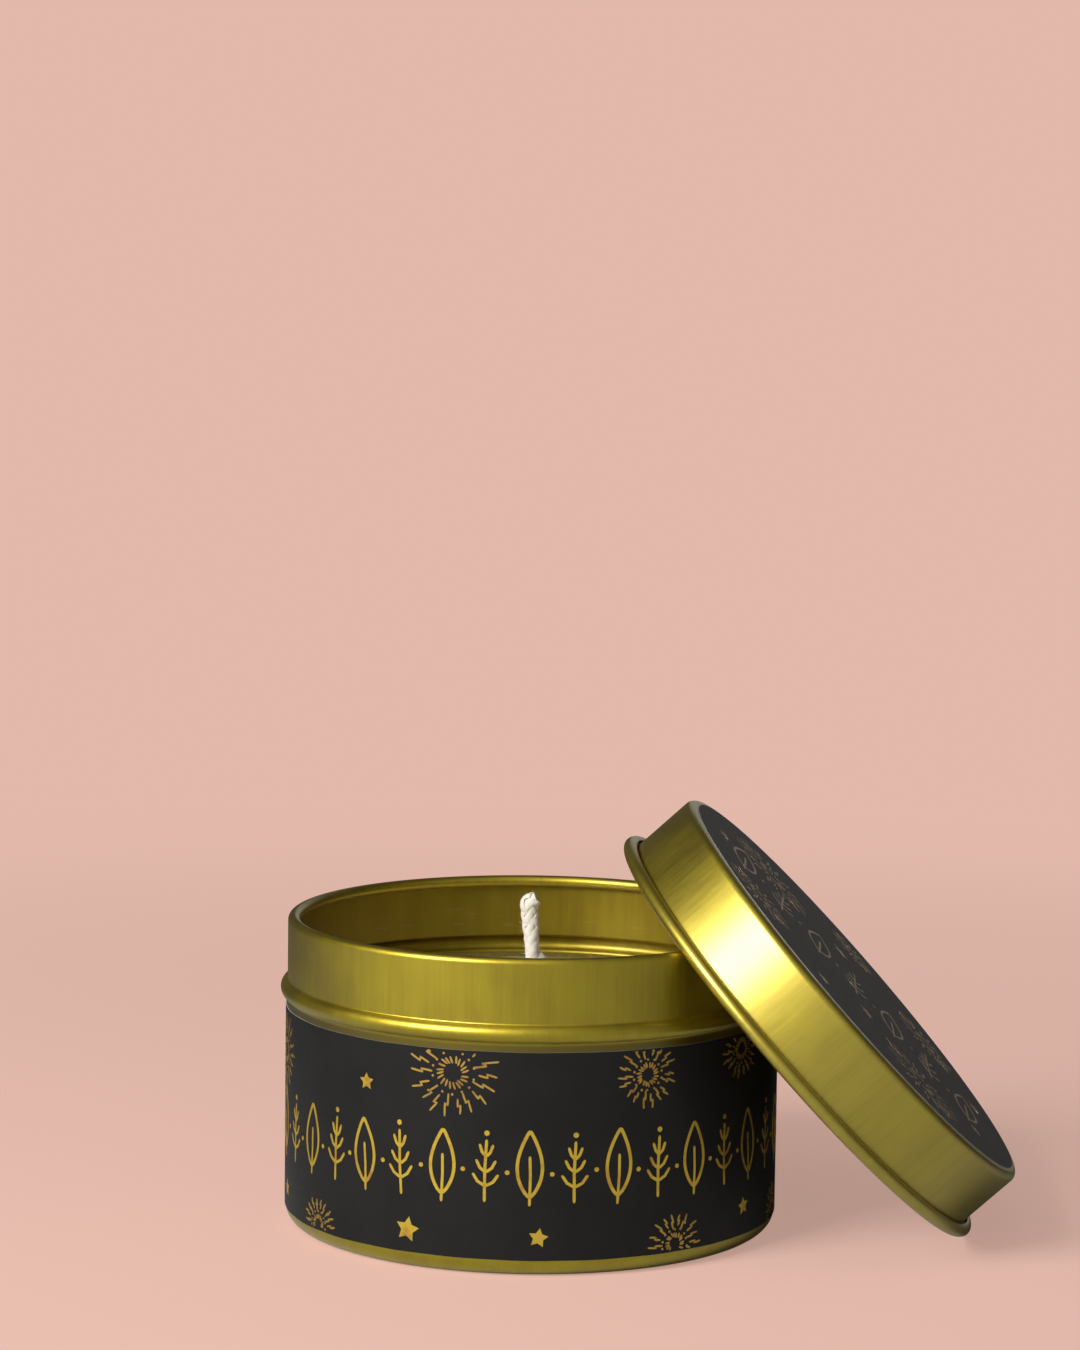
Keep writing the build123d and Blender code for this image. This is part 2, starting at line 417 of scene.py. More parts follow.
def gold_lacquer(name, colours, smoothest, gloss, shaded_under_bead=False, smeared=False, matrix=None):
    """Drawn tinplate under gold lacquer, with fine streaks along the axis. gloss is the lacquer's index
    of refraction. Painted shade can darken the metal just above the label, under the bead, and smeared
    metal has wax wiped on it."""
    warm, olive, pale = colours
    coat = {"Coat_Weight": 1.0, "Coat_Roughness": smoothest - 0.05, "Coat_IOR": gloss}
    material, tree, shader, place = new_material(name, matrix, Metallic=1.0, **coat)
    fine = noise(tree, scaled(tree, place, (4.0, 4.0, 0.09)), 1.0, 4.0, 0.6)
    broad = noise(tree, scaled(tree, place, (0.55, 0.55, 0.03)), 1.0, 3.0)
    wave = noise(tree, scaled(tree, place, (0.25, 0.25, 0.08)), 1.0, 2.0)
    cloud = noise(tree, place, 0.11, 3.0)
    grain = noise(tree, place, 7.0, 2.0)
    tone = mixed(tree, broad, cloud, 0.5)
    colour = blend_colours(tree, fit(tree, tone, 0.36, 0.64), warm, olive)
    colour = blend_colours(tree, fit(tree, fine, 0.3, 0.75, 0.0, 0.35), colour, pale)
    streaks = fit(tree, fine, 0.3, 0.7, smoothest, smoothest + 0.06)
    rough = calculate(tree, "ADD", streaks, fit(tree, cloud, 0.3, 0.7, 0.0, 0.05))
    if shaded_under_bead:
        # painted shade darkens the metal under the bead
        colour = blend_colours(tree, band(tree, place, *UNDER_BEAD_SHADE_BAND), colour, UNDER_BEAD_SHADE)
    if smeared:
        smear = wax_smears(tree, place)
        colour = blend_colours(tree, smear, colour, WAX_PALE)
        rough = calculate(tree, "ADD", rough, calculate(tree, "MULTIPLY", smear, 0.6))
        connect(tree, shader, {"Metallic": calculate(tree, "SUBTRACT", 1.0, smear)})
    connect(tree, shader, {"Base Color": colour, "Roughness": rough})
    relief = [(fine, 0.14, 0.012), (grain, 0.12, 0.008), (cloud, 0.3, 0.25), (wave, 0.25, 0.3)]
    bumped(tree, shader, relief)
    return material


def label_paper(name, dark, light, roughness, specular=0.5):
    """Coated paper with a fine tooth and a faint cloudiness."""
    material, tree, shader, place = new_material(name, Specular_IOR_Level=specular)
    tooth = noise(tree, place, 5.0, 5.0, 0.65)
    fibre = noise(tree, scaled(tree, place, (1.4, 1.4, 3.5)), 1.0, 4.0, 0.7)
    cloud = noise(tree, place, 0.12, 3.0)
    tone = mixed(tree, cloud, fibre, 0.6)
    colour = blend_colours(tree, fit(tree, tone, 0.35, 0.65), dark, light)
    rough = fit(tree, fibre, 0.3, 0.7, roughness - 0.05, roughness + 0.07)
    connect(tree, shader, {"Base Color": colour, "Roughness": rough})
    bumped(tree, shader, [(tooth, 0.25, 0.015), (fibre, 0.2, 0.02)])
    return material


def foil(name, bright, brown):
    """Hot-stamped foil: metal with a broken, slightly worn print."""
    material, tree, shader, place = new_material(name, Metallic=0.9)
    wear = noise(tree, place, 0.35, 4.0, 0.6)
    speck = noise(tree, place, 4.0, 4.0, 0.7)
    colour = blend_colours(tree, fit(tree, wear, 0.46, 0.74), bright, brown)
    colour = blend_colours(tree, fit(tree, speck, 0.64, 0.74, 0.0, 0.5), colour, brown)
    connect(tree, shader, {"Base Color": colour, "Roughness": fit(tree, speck, 0.3, 0.7, 0.3, 0.5)})
    bumped(tree, shader, [(speck, 0.3, 0.01)])
    return material


def wax_material(name, warm, pale):
    """Container wax: soft and translucent, with a light frosting. Near the wall its colour turns dark gold:
    painted shade, with a painted reflection of the gold wall."""
    material, tree, shader, place = new_material(
        name,
        IOR=1.44,
        Subsurface_Weight=0.35,
        Subsurface_Scale=2.5 * MM,
        Subsurface_Radius=(1.0, 0.75, 0.5),
    )
    cloud = noise(tree, place, 0.09, 4.0, 0.6)
    frost = noise(tree, place, 0.5, 6.0, 0.7)
    pit = noise(tree, place, 3.0, 3.0)
    colour = blend_colours(tree, fit(tree, cloud, 0.35, 0.65), warm, pale)
    colour = blend_colours(tree, fit(tree, frost, 0.56, 0.7, 0.0, 0.5), colour, WAX_FROST)
    flat = scaled(tree, place, (1, 1, 0))
    radius = add_node(tree, "VectorMath", {0: flat}, operation="LENGTH").outputs["Value"]
    # painted shade and gold reflection on the wax near the wall
    colour = blend_colours(tree, fit(tree, radius, *WALL_SHADE_STARTS), colour, WAX_WALL_SHADE)
    connect(tree, shader, {"Base Color": colour, "Roughness": fit(tree, frost, 0.4, 0.7, 0.14, 0.34)})
    bumped(tree, shader, [(frost, 0.25, 0.08), (pit, 0.15, 0.03)])
    return material


def cotton_material():
    """Spun cotton: matt, with fine fibres."""
    material, tree, shader, place = new_material("wick_cotton", Sheen_Weight=0.3, Roughness=0.85)
    fibre = noise(tree, scaled(tree, place, (9.0, 9.0, 3.0)), 1.0, 4.0, 0.6)
    cloud = noise(tree, place, 0.8, 3.0)
    colour = blend_colours(tree, fit(tree, cloud, 0.35, 0.65), COTTON_SHADE, COTTON)
    colour = blend_colours(tree, fit(tree, fibre, 0.35, 0.6), COTTON_SHADE, colour)
    connect(tree, shader, {"Base Color": colour})
    bumped(tree, shader, [(fibre, 0.25, 0.03)])
    return material


def tinplate_material():
    """Bare tinplate, with the faint spangle of its tin."""
    material, tree, shader, place = new_material("bare_tinplate", Metallic=1.0)
    spangle = add_node(tree, "TexVoronoi", {"Vector": place, "Scale": 0.8}).outputs["Color"]
    tone = add_node(tree, "SeparateXYZ", {0: spangle}).outputs["X"]
    scratch = noise(tree, scaled(tree, place, (6.0, 0.5, 0.5)), 1.0, 3.0)
    colour = blend_colours(tree, tone, TIN_SHADE, TIN_BRIGHT)
    connect(tree, shader, {"Base Color": colour, "Roughness": fit(tree, scratch, 0.3, 0.7, 0.25, 0.42)})
    bumped(tree, shader, [(scratch, 0.2, 0.01)])
    return material


def foam_material():
    """White adhesive foam, with open cells at its cut edge and painted shade in each cell's hollow."""
    material, tree, shader, place = new_material("pad_foam", Roughness=0.8)
    cell = add_node(tree, "TexVoronoi", {"Vector": place, "Scale": 4.0}).outputs["Distance"]
    # painted shade in the hollow of each cell
    colour = blend_colours(tree, fit(tree, cell, 0.1, 0.6), FOAM_PIT_SHADE, FOAM)
    connect(tree, shader, {"Base Color": colour})
    bumped(tree, shader, [(cell, 0.7, 0.08)])
    return material


def core_material():
    """Twisted kraft paper in the middle of the wick."""
    material, tree, shader, place = new_material("core_paper", Roughness=0.75)
    twist = noise(tree, scaled(tree, place, (3.0, 3.0, 1.0)), 1.0, 4.0)
    colour = blend_colours(tree, fit(tree, twist, 0.3, 0.7), KRAFT_SHADE, KRAFT)
    connect(tree, shader, {"Base Color": colour})
    bumped(tree, shader, [(twist, 0.4, 0.05)])
    return material


gold_outside = gold_lacquer("gold_outside", GOLD, 0.38, 1.5, shaded_under_bead=True)
# the insides take the darker gold: painted shade
gold_inside = gold_lacquer("gold_inside", GOLD_PAINTED_SHADE, 0.41, 1.4, smeared=True)
gold_lid = gold_lacquer("gold_lid", LID_GOLD_PAINTED_LIGHT, 0.38, 1.8, matrix=lid_matrix)
gold_lid_inside = gold_lacquer("gold_lid_inside", GOLD_PAINTED_SHADE, 0.35, 1.4, matrix=lid_matrix)
black_paper = label_paper("black_paper", *BLACK_PAPER, 0.46, 0.28)
# the lid's paper is lighter than the wall's: painted sheen
sheen_painted_lid_paper = label_paper("sheen_painted_lid_paper", *SHEEN_PAINTED_LID_PAPER, 0.56, 0.4)
cut_paper = label_paper("cut_paper", *CUT_PAPER, 0.75)
base_paper = label_paper("base_paper", *BASE_PAPER, 0.6)
gold_foil = foil("gold_foil", *FOIL)
worn_foil = foil("worn_foil", *WORN_FOIL)
lid_foil = foil("lid_foil", *LID_FOIL)
wax = wax_material("wax", WAX_WARM, WAX_PALE)
drip_wax = wax_material("drip_wax", COTTON_SHADE, COTTON)
cotton = cotton_material()
tinplate = tinplate_material()
foam = foam_material()
core_paper = core_material()

carried_over = {
    "base_label": base_paper,
    "sustainer_pad": foam,
    "wick_sustainer": tinplate,
    "wick_core": core_paper,
}
for node, material in carried_over.items():
    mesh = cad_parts[node].data
    mesh.materials.clear()
    mesh.materials.append(material)


# ---- the cup ----
def cup_line():
    """The middle line of the cup's sheet, from the middle of its base to the end of the rim's curl."""
    panel = PANEL_RISE + half
    corners = [
        (0, panel),
        (PANEL_RADIUS, panel),
        (PANEL_RADIUS + PANEL_STEP, half),
        (wall, half),
        (wall, LABEL_TOP),
    ]
    base = rounded(corners, [PANEL_BEND, PANEL_BEND, FOOT_CORNER - half])
    bend = RIM_CURL - half
    rim = arc((neck - bend, TIN_HEIGHT - RIM_CURL), bend, 0, CURL_TURN, CURL_STEPS)
    return divided(base + bead_line() + rim, 4.0)


def cup_warp(angle, radius, height):
    """The cup is a hair out of round above its label."""
    rim = smooth_step(height, LABEL_TOP, BEAD_LEVEL)
    outward = 0.025 * np.sin(3 * angle + 0.7) + 0.012 * np.sin(8 * angle + 2.1)
    return outward * rim * (radius > wall / 2), 0 * height


cup_outline = sheet(cup_line())
cup_side = len(cup_outline) // 2
make_piece(
    "tin_cup",
    [lathe(cup_outline, cup_warp)],
    [gold_outside, gold_inside],
    "tin",
    ["tin_body"],
    pick=lambda index, face: int(face % (len(cup_outline) - 1) < cup_side - 1),
)


# ---- the body label: a strip whose end laps over its start, at the back ----
def waver(along, slow, fast, phase=0.0):
    """How far a cut edge strays at that angle along the strip, in slow and in fast waves."""
    return 0.03 * sin(slow * along + phase) + 0.02 * sin(fast * along)


def label_rings():
    """The strip's section at each angle from its start, under the lap, to its end."""
    lap = LABEL_OVERLAP / label_radius
    start = pi / 2 - lap / 2
    rings = []
    for along in np.linspace(0, 2 * pi + lap, SEGMENTS + 12):
        lift = PAPER * float(smooth_step(along, 2 * pi - 0.6 * lap, 2 * pi - 0.05 * lap))
        angle = start + along
        low = LABEL_BOTTOM + waver(along, 5, 23)
        high = LABEL_TOP + waver(along, 4, 19, 1)
        inner = TIN_RADIUS + lift
        outer = label_radius + lift
        ring = [(inner, low), (outer, low), (outer, high), (inner, high)]
        rings.append([(r * cos(angle), r * sin(angle), z) for r, z in ring])
    return rings


make_piece(
    "body_wrap",
    [skin(label_rings(), capped=True)],
    [black_paper, cut_paper],
    "tin",
    ["body_label"],
    pick=lambda index, face: int(face % 4 in (0, 2)),
)


# ---- the gold print: flat motifs drawn as strokes and filled shapes, then laid on a label ----
BURST_LINE = 0.3  # widths of the printed lines
LEAF_LINE = 0.5
SPRIG_LINE = 0.44
BURST_TICKS = 20
BURST_DOT_RINGS = (0.44, 14), (0.66, 9)  # (share of the firework's radius, number of dots)
BURST_RAYS = 18
EDGE_MARGIN = 0.25  # no print comes nearer to the wall label's edges
LID_EDGE_MARGIN = 1.0
FOIL_SUNK = -0.02  # a mark's foil starts below the paper's surface
FOIL_PROUD = 0.025


def stroke(points, width):
    """A line of that width, as ("stroke", points, width)."""
    return ("stroke", np.array(points, float), width)


def fill(x, y, turn, reach):
    """A filled shape, as ("fill", middle, rim). turn and reach place the rim's points round the middle."""
    rim = np.column_stack([x + reach * np.cos(turn), y + reach * np.sin(turn)])
    return ("fill", np.array([x, y]), rim)


def dot(x, y, radius, corners=8):
    """A small filled round."""
    return fill(x, y, np.arange(corners) / corners * 2 * pi, radius)


def star(x, y, radius, lean):
    """A filled five-pointed star."""
    turn = lean + pi / 2 + np.arange(10) * pi / 5
    return fill(x, y, turn, radius * np.where(np.arange(10) % 2, 0.52, 1.0))


def burst(x, y, radius, chance):
    """A firework: a ring of short ticks, two rings of dots, and rays that step aside half-way."""

    def at(reach, turn):
        return (x + radius * reach * cos(turn), y + radius * reach * sin(turn))

    marks = []
    for index in range(BURST_TICKS):
        turn = 2 * pi * (index + chance.uniform(-0.2, 0.2)) / BURST_TICKS
        inner = 0.19 + chance.uniform(-0.02, 0.02)
        marks.append(stroke([at(inner, turn), at(inner + 0.15, turn + 0.15)], BURST_LINE))
    for reach, count in BURST_DOT_RINGS:
        for index in range(count):
            turn = 2 * pi * (index + 0.5) / count + chance.uniform(-0.05, 0.05)
            marks.append(dot(*at(reach + chance.uniform(-0.02, 0.02), turn), 0.19))
    for index in range(BURST_RAYS):
        turn = 2 * pi * index / BURST_RAYS + chance.uniform(-0.06, 0.06)
        start = 0.44 if index % 2 else 0.54
        length = chance.uniform(0.84, 1.0) - start
        aside = chance.choice([-1, 1]) * 0.05
        knots = [(0.0, 0.0), (0.5, aside), (0.45, -aside), (1.0, 0.3 * aside)]
        points = [at(start + length * share, turn + swing) for share, swing in knots]
        marks.append(stroke(points, BURST_LINE))
    return marks


def leaning(x, y, lean):
    """A function that puts the points of an upright motif on the label, leaning a little."""

    def at(side, up):
        return (x + side * cos(lean) - up * sin(lean), y + side * sin(lean) + up * cos(lean))

    return at


def leaf(at, height, width):
    """A pointed leaf: its two sides and the vein that runs on as its stalk."""
    rise = np.linspace(0, 1, 15)
    belly = width / 2 * np.sin(pi * rise**0.85) ** 0.9
    marks = []
    for side in (-1, 1):
        marks.append(stroke([at(side * b, height * r) for b, r in zip(belly, rise)], LEAF_LINE))
    vein = [at(0, -0.12 * height), at(0.1, 0.3 * height), at(0, 0.62 * height)]
    return marks + [stroke(vein, 0.85 * LEAF_LINE)]


def sprig(at, height, width, chance):
    """A thin stalk with pairs of rising twigs and a bud at its top."""
    stalk = [at(0, -0.08 * height), at(-0.12, 0.4 * height), at(0, 0.88 * height)]
    marks = [stroke(stalk, SPRIG_LINE), dot(*at(0, 0.98 * height), 0.42)]
    for step in (0.16, 0.38, 0.6):
        foot = height * (step + chance.uniform(-0.02, 0.02))
        reach = width / 2 * (1.1 - step)
        for side in (-1, 1):
            middle = at(side * 0.6 * reach, foot + 0.07 * height)
            end = at(side * reach, foot + 0.19 * height)
            marks.append(stroke([at(0, foot), middle, end], SPRIG_LINE))
    return marks


def garland(pitch, count, level, height, chance):
    """A centred row of leaves and sprigs by turns, with a dot between neighbours."""
    marks = []
    for index in range(count):
        x = (index - (count - 1) / 2) * pitch
        at = leaning(x, level, chance.uniform(-0.05, 0.05))
        tall = height * chance.uniform(0.95, 1.03)
        if index % 2:
            marks += sprig(at, tall, 0.62 * pitch, chance)
        else:
            marks += leaf(at, tall, 0.56 * pitch)
        if index < count - 1:
            marks.append(dot(x + pitch / 2, level + height * chance.uniform(0.36, 0.42), 0.36))
    return marks


def inside_runs(points, inside):
    """The stretches of a finely divided line that lie inside the label."""
    runs = [[]]
    for point in divided(points, 0.3):
        if inside(*point):
            runs[-1].append(point)
        elif runs[-1]:
            runs.append([])
    return [np.array(run) for run in runs if len(run) > 2]


def raised_fill(middle, rim, place):
    """A filled shape's foil, as a closed skin."""
    centres = np.repeat(middle[None], len(rim), axis=0)
    levels = [(centres, FOIL_SUNK), (rim, FOIL_SUNK), (rim, FOIL_PROUD), (centres, FOIL_PROUD)]
    return skin([[place(*point, rise) for point in flat] for flat, rise in levels])


def raised_stroke(run, width, place):
    """A line's foil, narrower at its ends, as a closed skin."""
    way = np.gradient(run, axis=0)
    way /= np.linalg.norm(way, axis=1)[:, None]
    along = np.arange(len(run))
    end_distance = np.minimum(along, along[::-1])
    size = np.interp(end_distance, [0, 1], [0.55, 1.0])[:, None]
    side = np.column_stack([-way[:, 1], way[:, 0]]) * width / 2 * size
    rings = []
    for left, right in zip(run + side, run - side):
        section = [(left, FOIL_SUNK), (right, FOIL_SUNK), (right, FOIL_PROUD), (left, FOIL_PROUD)]
        rings.append([place(*flat, rise) for flat, rise in section])
    return skin(rings, capped=True)


def printed(marks, place, inside):
    """The marks' foil. place(x, y, rise) puts a flat point on the label, and marks stay inside it."""
    skins = []
    for kind, *shape in marks:
        if kind == "stroke":
            points, width = shape
            skins += [raised_stroke(run, width, place) for run in inside_runs(points.tolist(), inside)]
        else:
            middle, rim = shape
            if all(inside(*point) for point in rim):
                skins.append(raised_fill(middle, rim, place))
    return skins


def on_wall(x, y, rise):
    """A point of the body label's print: x along the label from the front, y above the table."""
    angle = x / label_radius
    radius = label_radius + rise
    return (radius * sin(angle), -radius * cos(angle), y)


def on_wall_label(x, y):
    """Whether that point is on the body label, in front of its lap and clear of its edges."""
    back = pi * label_radius - LABEL_OVERLAP
    return LABEL_BOTTOM + EDGE_MARGIN < y < LABEL_TOP - EDGE_MARGIN and abs(x) < back


# (degrees to the right of the front, height above the table, radius) of each motif on the wall
WALL_BURSTS = [
    (-80, 27, 6), (-17.6, 29.9, 7.2), (26.9, 29.5, 5.3), (56, 31, 5),
    (97, 28, 6.5), (135, 30, 5.5), (-122, 29.5, 7),
    (-56.8, 3.5, 4.5), (34.8, 3.8, 5), (78, 4, 4.5), (118, 3.5, 5),
    (160, 4.5, 4.5), (-100, 4, 5), (-146, 3.6, 4.6),
]
WALL_STARS = [
    (-39.9, 27, 1.35), (-28.3, 6, 1.95), (2.1, 6, 1.5), (58, 7, 1.4), (80, 28.5, 1.5),
    (-100, 28, 1.3), (98, 6.5, 1.7), (116, 27, 1.2), (140, 6, 1.3), (158, 28.5, 1.6),
    (-78, 6, 1.4), (-124, 6.5, 1.6), (-158, 28, 1.3),
]
WALL_GARLAND = {"pitch": 2 * pi * label_radius / 36, "count": 33, "level": 11.9, "height": 9.8}


def burst_and_star_marks(bursts, stars, chance, scale=1.0):
    """(the fireworks' marks, the stars' marks). scale turns the first number of each motif into x."""
    burst_marks = []
    for x, y, size in bursts:
        burst_marks += burst(x * scale, y, size, chance)
    star_marks = [star(x * scale, y, size, chance.uniform(-0.3, 0.3)) for x, y, size in stars]
    return burst_marks, star_marks


def wall_print():
    """(the marks of the fireworks, those of the stars and of the garland of leaves in the middle)."""
    chance = random.Random(7)
    degree = radians(1) * label_radius
    burst_marks, star_marks = burst_and_star_marks(WALL_BURSTS, WALL_STARS, chance, degree)
    return burst_marks, star_marks + garland(**WALL_GARLAND, chance=chance)


burst_skins, other_skins = [printed(marks, on_wall, on_wall_label) for marks in wall_print()]
make_piece(
    "label_foil",
    burst_skins + other_skins,
    [gold_foil, worn_foil],
    "tin",
    pick=lambda index, face: int(index < len(burst_skins)),
)


# ---- the wax ----
SINK_DEPTH = 0.25  # the ring round the wick where it sank as it set
SINK_RADIUS = 6.5
SINK_WIDTH = 4.0


def wax_outline():
    """The wax from the wick's foot, round the sustainer, along the cup and back over its surface."""
    gap = 0.01
    tab_top = TAB_BASE + TAB_SHEET + gap
    sleeve = WICK_RADIUS + TAB_SHEET + gap
    inside = TIN_RADIUS - SHEET - gap
    side = cup_outline[:cup_side]
    floor_side = [(r, z + gap) for r, z in side if TAB_RADIUS < r and z < FOOT_CORNER]
    floor_side = [(min(r, inside), z) for r, z in floor_side]
    outline = [(sleeve, TAB_TOP), (sleeve, tab_top), (TAB_RADIUS + gap, tab_top)]
    outline += [(TAB_RADIUS + gap, floor_side[0][1])] + floor_side
    outline += [(inside, WAX_LEVEL + WALL_CLIMB)]
    for step in np.linspace(0, 1, 11)[1:]:
        outline.append((inside - WALL_CREEP * step, WAX_LEVEL + WALL_CLIMB * (1 - step) ** 2.2))
    outer = inside - WALL_CREEP
    inner = WICK_RADIUS + WICK_CREEP
    outline += [(outer + (inner - outer) * step, WAX_LEVEL) for step in np.linspace(0, 1, 34)[1:-1]]
    for step in np.linspace(0, 1, 13):
        outline.append((inner - WICK_CREEP * step, WAX_LEVEL + WICK_CLIMB * step**2.2))
    return outline + [(WICK_RADIUS, TAB_TOP)]


def wax_warp(angle, radius, height):
    """The surface set with shallow hollows and swells, which die out at the wall and the wick."""
    x = radius * np.cos(angle)
    y = radius * np.sin(angle)
    swell = 0.10 * np.sin(0.21 * x + 0.4) * np.sin(0.17 * y + 1.0)
    swell += 0.06 * np.sin(0.38 * x - 0.29 * y)
    swell += 0.04 * np.sin(0.7 * radius + 2 * np.sin(angle))
    sunk = SINK_DEPTH * np.exp(-(((radius - SINK_RADIUS) / SINK_WIDTH) ** 2))
    from_wick = smooth_step(radius, WICK_RADIUS, WICK_RADIUS + WICK_CREEP)
    from_wall = 1 - smooth_step(radius, 34.5, 37.0)
    return 0 * radius, (swell - sunk) * from_wick * from_wall * (height > WAX_LEVEL - 1)


wax_skin = lathe(wax_outline(), wax_warp, ring_closed=True)
make_piece("wax_pour", [wax_skin], [wax], "tin", ["wax_fill"])


# ---- the wick: eight strands braided round a filling ----
WICK_STEP = 0.16
BRAID_PITCH = 7.5
BRAID_MIDDLE = 0.93  # from the wick's axis to the strands
BRAID_WEAVE = 0.06  # how far a strand rises and dips as it crosses others
STRAND_WIDTH = 0.60  # half a strand's width
STRAND_THICKNESS = 0.21  # and half its thickness
FILLING = 1.0  # radius of the plain round inside the strands
TIP_SHOULDER = 0.28  # how far the bend bulges outwards
FUZZ = 110  # fibres that stand out
FUZZ_RADIUS = 0.018
DRIP_BOTTOM = 38.6
DRIP_HEIGHT = 2.7


def wick_route():
    """(points, heading, distance, bent) along the wick's middle line. A positive heading leans towards
    -X, and bent runs from 0 to 1 through the bend at the tip."""
    straight = WICK_STRAIGHT - TAB_BASE
    lean = straight + LEAN_RADIUS * LEAN_TURN
    tip = lean + TIP_RADIUS * TIP_TURN
    end = tip + TIP_LENGTH
    distance = np.arange(0, end, WICK_STEP)
    bent = np.clip((distance - lean) / (tip - lean), 0, 1)
    heading = np.interp(distance, [0, straight, lean], [0, 0, LEAN_TURN]) - bent * TIP_TURN
    x = -np.cumsum(np.sin(heading)) * WICK_STEP
    z = TAB_BASE + np.cumsum(np.cos(heading)) * WICK_STEP
    return np.column_stack([x, 0 * x, z]), heading, distance, bent


# The wick at each point of its middle line. Its spread is how much wider than round it is: below 1 where
# the drip pinches it, and above 1 near the tip.
wick_middle, wick_heading, wick_distance, wick_bent = wick_route()
wick_across = np.column_stack([np.cos(wick_heading), 0 * wick_heading, np.sin(wick_heading)])
wick_back = np.array([0.0, 1.0, 0.0])
wick_height = wick_middle[:, 2]
wick_spread = np.interp(wick_height, [WAX_LEVEL, 41, 43, 46, 48], [1.0, 0.88, 0.96, 1.2, 1.12])
wick_shoulder = TIP_SHOULDER * np.sin(pi * wick_bent**0.7)


def filling():
    """The plain round that fills the braid."""
    line = wick_middle - wick_across * (0.5 * wick_shoulder)[:, None]
    return tube(line, FILLING, FILLING, wick_back, sides=16, ends=(0.8, 1.0))


def strand(direction, index, chance):
    """A strand that winds one way, and passes over and under those that wind the other way."""
    angle = direction * 2 * pi * wick_distance / BRAID_PITCH + index * pi / 2
    weave = direction * BRAID_WEAVE * np.cos(8 * pi * wick_distance / BRAID_PITCH)
    sideways = wick_across * (np.cos(angle) * wick_spread)[:, None]
    radial = sideways + wick_back * (np.sin(angle) / wick_spread)[:, None]
    outer = wick_shoulder * np.maximum(0, -np.cos(angle))
    path = wick_middle + radial * (BRAID_MIDDLE + weave + outer)[:, None]
    last = len(path) - chance.randrange(0, 4)
    return tube(path[:last], STRAND_WIDTH, STRAND_THICKNESS, radial[:last], ends=(0.7, 0.95))


def fibre(chance):
    """A hair-thin fibre that stands out of the braid above the wax and curls away."""
    lowest = int(np.argmax(wick_height > WAX_LEVEL + 1))
    start = chance.randrange(lowest, len(wick_middle))
    angle = chance.uniform(0, 2 * pi)
    spread = wick_spread[start]
    out = wick_across[start] * cos(angle) * spread + wick_back * sin(angle) / spread
    root = wick_middle[start] + out * 0.95
    curl = np.array([chance.uniform(-1, 1) for _ in range(3)])
    length = chance.uniform(0.25, 0.75)
    path = [root + length * (0.8 * t * out + 0.7 * t * t * curl) for t in np.linspace(0, 1, 6)]
    return tube(path, FUZZ_RADIUS, FUZZ_RADIUS, (0.3, 0.5, 0.8), sides=3)


def braid():
    """The filling, four strands each way round it, and the fibres that stand out."""
    chance = random.Random(11)
    strands = [strand(direction, index, chance) for direction in (-1, 1) for index in range(4)]
    return [filling()] + strands + [fibre(chance) for _ in range(FUZZ)]


make_piece("wick_plait", braid(), [cotton], "tin", ["wick_braid"], sharp=80)


def wax_drip():
    """A drop of wax that ran down the wick's right side and set there."""
    rings = []
    size = 24
    turn = np.arange(size) / size * 2 * pi
    bulge = 1 + 0.12 * np.sin(3 * turn + 1)
    for step in np.linspace(0.02, 0.98, 16):
        height = DRIP_BOTTOM + DRIP_HEIGHT * step
        belly = sin(pi * step) ** 0.6 * (1.25 - 0.55 * step)
        x = 0.6 + (0.5 + 1.0 * belly) * bulge * np.cos(turn)
        y = (0.35 + 0.75 * belly) * bulge * np.sin(turn)
        rings.append(np.column_stack([x, y, np.full(size, height)]))
    return skin(rings, capped=True)


make_piece("wick_wax_drip", [wax_drip()], [drip_wax], "tin", sharp=80)


# ---- the lid ----
def lid_line():
    """The middle line of the lid's sheet, from the middle of its top to the end of the lip's curl."""
    corners = [(0, LID_HEIGHT - half), (lid_wall, LID_HEIGHT - half), (lid_wall, LID_CURL)]
    lip = arc((lip_middle, LID_CURL), lip_bend, 180, CURL_TURN, CURL_STEPS)
    return divided(rounded(corners, [LID_CORNER - half], 12) + lip, 4.0)


def lid_warp(angle, radius, height):
    """The skirt is a hair out of round."""
    outward = 0.02 * np.sin(3 * angle + 2.0) + 0.01 * np.sin(7 * angle) - 0.03
    return outward * smooth_step(-height, -LID_HEIGHT, -LID_CURL) * (radius > lid_wall / 2), 0 * height


lid_outline = sheet(lid_line())
lid_side = len(lid_outline) // 2
make_piece(
    "lid_cap",
    [lathe(lid_outline, lid_warp)],
    [gold_lid, gold_lid_inside],
    "lid",
    ["lid_shell"],
    lid_matrix,
    pick=lambda index, face: int(face % (len(lid_outline) - 1) >= lid_side + CURL_STEPS),
)

disc_under = divided([(0, LID_HEIGHT), (LID_LABEL_RADIUS, LID_HEIGHT)], 6.0)
disc_top = [(radius, LID_HEIGHT + PAPER) for radius, _ in reversed(disc_under)]
disc_outline = disc_under + disc_top
make_piece(
    "lid_disc",
    [lathe(disc_outline)],
    [sheen_painted_lid_paper, cut_paper],
    "lid",
    ["lid_label"],
    lid_matrix,
    pick=lambda index, face: int(face % (len(disc_outline) - 1) == len(disc_under) - 1),
)


def on_lid(x, y, rise):
    """A point of the lid label's print."""
    return (x, y, LID_HEIGHT + PAPER + rise)


def on_lid_label(x, y):
    """Whether that point is on the lid's label, clear of its edge."""
    return x * x + y * y < (LID_LABEL_RADIUS - LID_EDGE_MARGIN) ** 2


